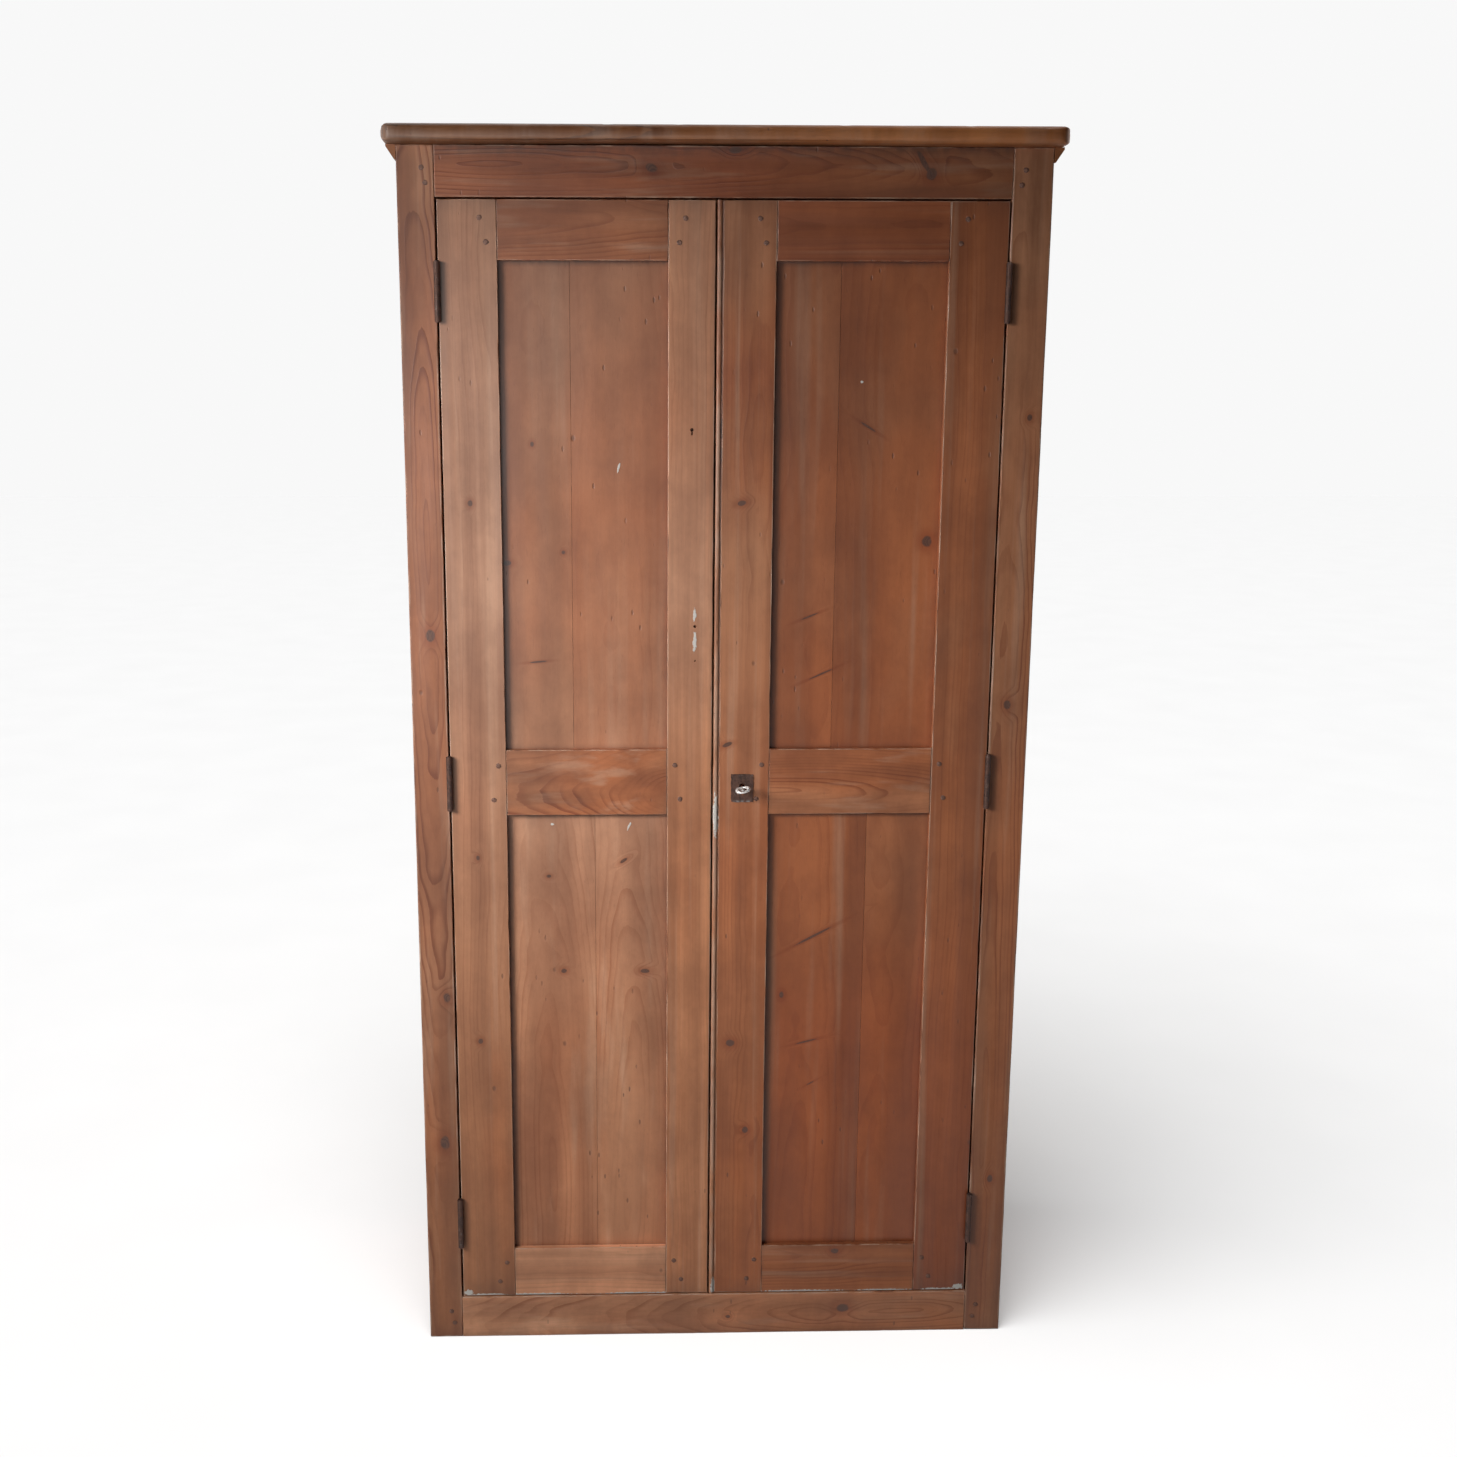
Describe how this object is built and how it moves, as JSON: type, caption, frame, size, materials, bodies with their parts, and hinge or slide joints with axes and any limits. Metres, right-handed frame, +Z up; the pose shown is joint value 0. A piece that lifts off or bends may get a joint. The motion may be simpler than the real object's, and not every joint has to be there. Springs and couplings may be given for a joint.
{
  "type": "armoire",
  "caption": "Tall pine armoire with a pegged face frame, moulded cornice, panelled doors on iron butt hinges, barrel bolts, a rim lock with its key, and a hanging rod under a hat shelf.",
  "frame": {"origin": "on the floor, at the centre of the whole object's plan", "axes": "+Z up, -Y towards the doors, +X to the right as seen from the front"},
  "size_m": [0.99, 0.472, 1.91],
  "materials": {
    "pine_waxed": "old stripped pine, waxed, satin",
    "pine_panel": "old stripped pine, waxed, satin",
    "pine_cornice": "rubbed pine with a dusty wax bloom",
    "pine_raw": "sawn pine, unwaxed, aged",
    "peg_wood": "dark end grain",
    "iron": "rusted wrought iron",
    "key_steel": "worn bright steel"
  },
  "bodies": {
    "carcass": {"cornice_board": "pine_cornice", "cornice_moulding_left": "pine_cornice", "cornice_moulding_right": "pine_cornice", "frame_stile_left": "pine_waxed", "frame_stile_right": "pine_waxed", "frame_rail_top": "pine_waxed", "frame_rail_bottom": "pine_waxed", "side_plank_left_front": "pine_waxed", "side_plank_left_rear": "pine_waxed", "side_plank_right_front": "pine_waxed", "side_plank_right_rear": "pine_waxed", "back_plank_1": "pine_raw", "back_plank_2": "pine_raw", "back_plank_3": "pine_raw", "back_plank_4": "pine_raw", "floor_board": "pine_raw", "floor_cleat_left": "pine_raw", "floor_cleat_right": "pine_raw", "hat_shelf": "pine_raw", "shelf_cleat_left": "pine_raw", "shelf_cleat_right": "pine_raw", "hanging_rod": "pine_raw", "rod_socket_left": "pine_raw", "rod_socket_right": "pine_raw", "door_stop": "pine_raw", "frame_pegs": "peg_wood", "frame_hinge_leaves": "iron", "hinge_pins": "iron", "frame_screws": "iron"},
    "left_door": {"left_door_hinge_stile": "pine_waxed", "left_door_meeting_stile": "pine_waxed", "left_door_top_rail": "pine_waxed", "left_door_mid_rail": "pine_waxed", "left_door_bottom_rail": "pine_waxed", "left_door_upper_panel": "pine_panel", "left_door_lower_panel": "pine_panel", "left_door_pegs": "peg_wood", "left_door_hinge_leaves": "iron", "left_door_screws": "iron", "bolt_guides": "iron", "lock_keeper": "iron"},
    "top_bolt": {"top_bolt": "iron"},
    "bottom_bolt": {"bottom_bolt": "iron"},
    "right_door": {"right_door_hinge_stile": "pine_waxed", "right_door_meeting_stile": "pine_waxed", "right_door_top_rail": "pine_waxed", "right_door_mid_rail": "pine_waxed", "right_door_bottom_rail": "pine_waxed", "right_door_upper_panel": "pine_panel", "right_door_lower_panel": "pine_panel", "right_door_pegs": "peg_wood", "right_door_hinge_leaves": "iron", "right_door_screws": "iron", "meeting_bead": "pine_waxed", "lock_plate": "iron", "lock_case": "iron"},
    "lock_bolt": {"lock_bolt": "iron"},
    "key": {"key": "key_steel"}
  },
  "joints": [
    {"name": "left_door_swing", "type": "hinge", "parent": "carcass", "child": "left_door", "pos_m": [-0.41975, -0.209, 0.945], "axis": [0, 0, -1], "range_deg": [0, 170]},
    {"name": "right_door_swing", "type": "hinge", "parent": "carcass", "child": "right_door", "pos_m": [0.41475, -0.209, 0.945], "axis": [0, 0, 1], "range_deg": [0, 170]},
    {"name": "top_bolt_slide", "type": "slide", "parent": "left_door", "child": "top_bolt", "axis": [0, 0, 1], "range_m": [0, 0.018]},
    {"name": "bottom_bolt_slide", "type": "slide", "parent": "left_door", "child": "bottom_bolt", "axis": [0, 0, -1], "range_m": [0, 0.018]},
    {"name": "key_turn", "type": "hinge", "parent": "right_door", "child": "key", "pos_m": [0.03275, -0.204, 0.935], "axis": [0, -1, 0], "range_deg": [0, 180]},
    {"name": "lock_bolt_slide", "type": "slide", "parent": "right_door", "child": "lock_bolt", "axis": [-1, 0, 0], "range_m": [0, 0.018]}
  ],
  "couplings": [
    {"joint": "key_turn", "follows": "lock_bolt_slide", "rad_per_m": 174.53}
  ]
}
